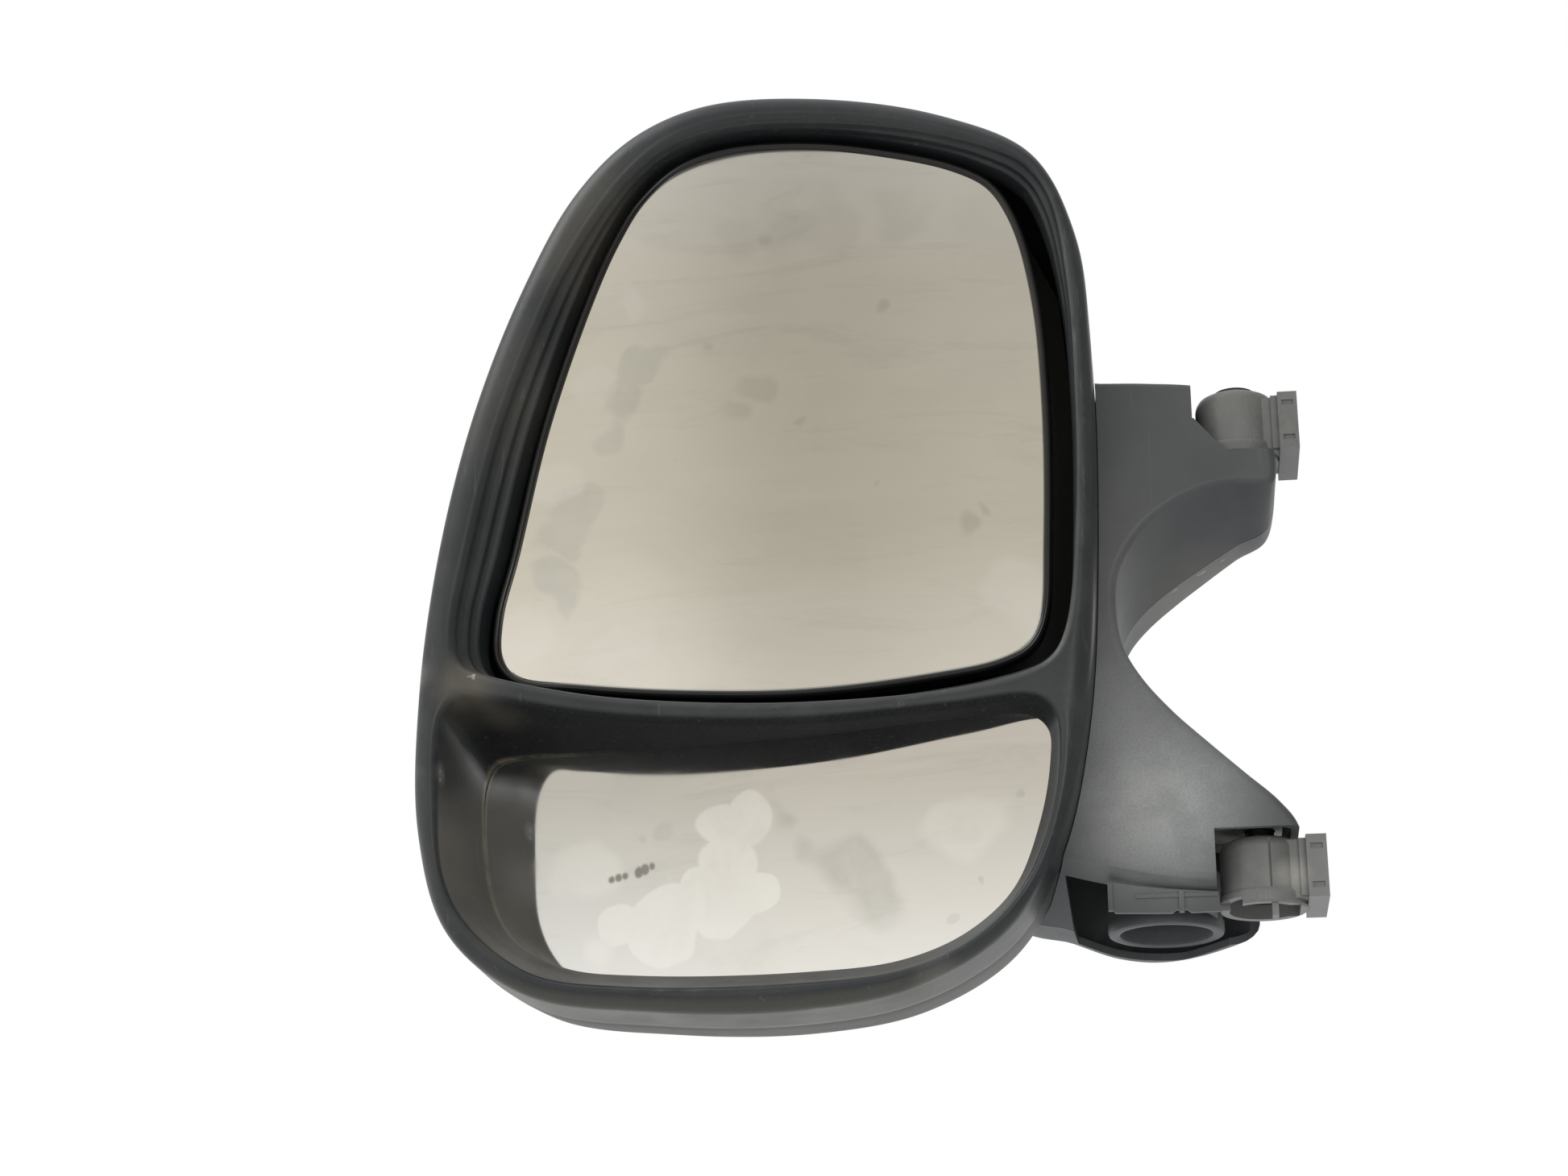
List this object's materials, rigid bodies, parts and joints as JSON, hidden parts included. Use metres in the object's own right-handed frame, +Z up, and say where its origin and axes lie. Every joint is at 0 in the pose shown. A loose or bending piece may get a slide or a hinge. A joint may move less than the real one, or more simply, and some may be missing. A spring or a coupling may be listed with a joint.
{
  "type": "van door mirror",
  "caption": "Tall black door mirror for a van: main convex glass over a fixed wide-angle glass, on a folding C-shaped arm with door feet.",
  "frame": {"origin": "middle of the lower foot's seat face, where it rests on the door", "axes": "+X out of the seat face into the door (inboard), +Z up along the fold axis, -Y towards the driver, who looks at the glasses"},
  "size_m": [0.3172, 0.117, 0.3504],
  "materials": {
    "bezel_plastic": "fine grained black",
    "shell_plastic": "fine grained black",
    "arm_plastic": "grained dark grey",
    "foot_plastic": "worn, slightly dusty dark grey",
    "holder_plastic": "smooth black",
    "inner_plastic": "plain moulded",
    "main_mirror": "silvered convex glass",
    "lower_mirror": "silvered wide-angle glass",
    "heater_film": "printed film",
    "cast_alloy": "as cast",
    "bright_steel": "zinc plated"
  },
  "bodies": {
    "feet": {"lower_foot": "foot_plastic", "upper_foot": "foot_plastic", "lower_seat_insert_left": "bright_steel", "lower_seat_insert_right": "bright_steel", "upper_seat_insert_left": "bright_steel", "upper_seat_insert_right": "bright_steel", "lower_pivot_pin": "bright_steel", "upper_pivot_pin": "bright_steel", "spring_washer": "bright_steel", "fold_spring": "bright_steel"},
    "head": {"bezel": "bezel_plastic", "rear_shell": "shell_plastic", "carrier_plate": "inner_plastic", "actuator_base": "inner_plastic", "actuator_cover": "inner_plastic", "pan_motor": "bright_steel", "tilt_motor": "bright_steel", "lower_glass": "lower_mirror", "lower_glass_backing": "holder_plastic", "arm_front_cover": "arm_plastic", "arm_rear_cover": "arm_plastic", "arm_frame": "cast_alloy", "arm_sleeve": "arm_plastic", "arm_skirt": "arm_plastic", "bezel_screw_1": "bright_steel", "bezel_screw_2": "bright_steel", "bezel_screw_3": "bright_steel", "bezel_screw_4": "bright_steel", "frame_bolt_1": "bright_steel", "frame_bolt_2": "bright_steel", "frame_bolt_3": "bright_steel", "actuator_screw_1": "bright_steel", "actuator_screw_2": "bright_steel", "actuator_screw_3": "bright_steel"},
    "gimbal": {"gimbal_ring": "inner_plastic"},
    "glass": {"glass_holder": "holder_plastic", "main_glass": "main_mirror", "heater_pad": "heater_film"},
    "pan_jack": {"pan_jack_screw": "inner_plastic"},
    "tilt_jack": {"tilt_jack_screw": "inner_plastic"}
  },
  "joints": [
    {"name": "fold", "type": "hinge", "parent": "feet", "child": "head", "pos_m": [-0.022, 0, 0], "axis": [0, 0, 1], "range_deg": [-45, 60]},
    {"name": "glass_tilt", "type": "hinge", "parent": "head", "child": "gimbal", "pos_m": [-0.188, -0.019, 0.17], "axis": [1, 0, 0], "range_deg": [-7, 7]},
    {"name": "glass_pan", "type": "hinge", "parent": "gimbal", "child": "glass", "pos_m": [-0.188, -0.019, 0.17], "axis": [0, 0, 1], "range_deg": [-7, 7]},
    {"name": "tilt_jack_slide", "type": "slide", "parent": "head", "child": "tilt_jack", "axis": [0, 1, 0], "range_m": [-0.0046, 0.0046]},
    {"name": "pan_jack_slide", "type": "slide", "parent": "head", "child": "pan_jack", "axis": [0, 1, 0], "range_m": [-0.0046, 0.0046]}
  ],
  "couplings": [
    {"joint": "tilt_jack_slide", "follows": "glass_tilt", "m_per_rad": 0.036},
    {"joint": "pan_jack_slide", "follows": "glass_pan", "m_per_rad": 0.036}
  ]
}
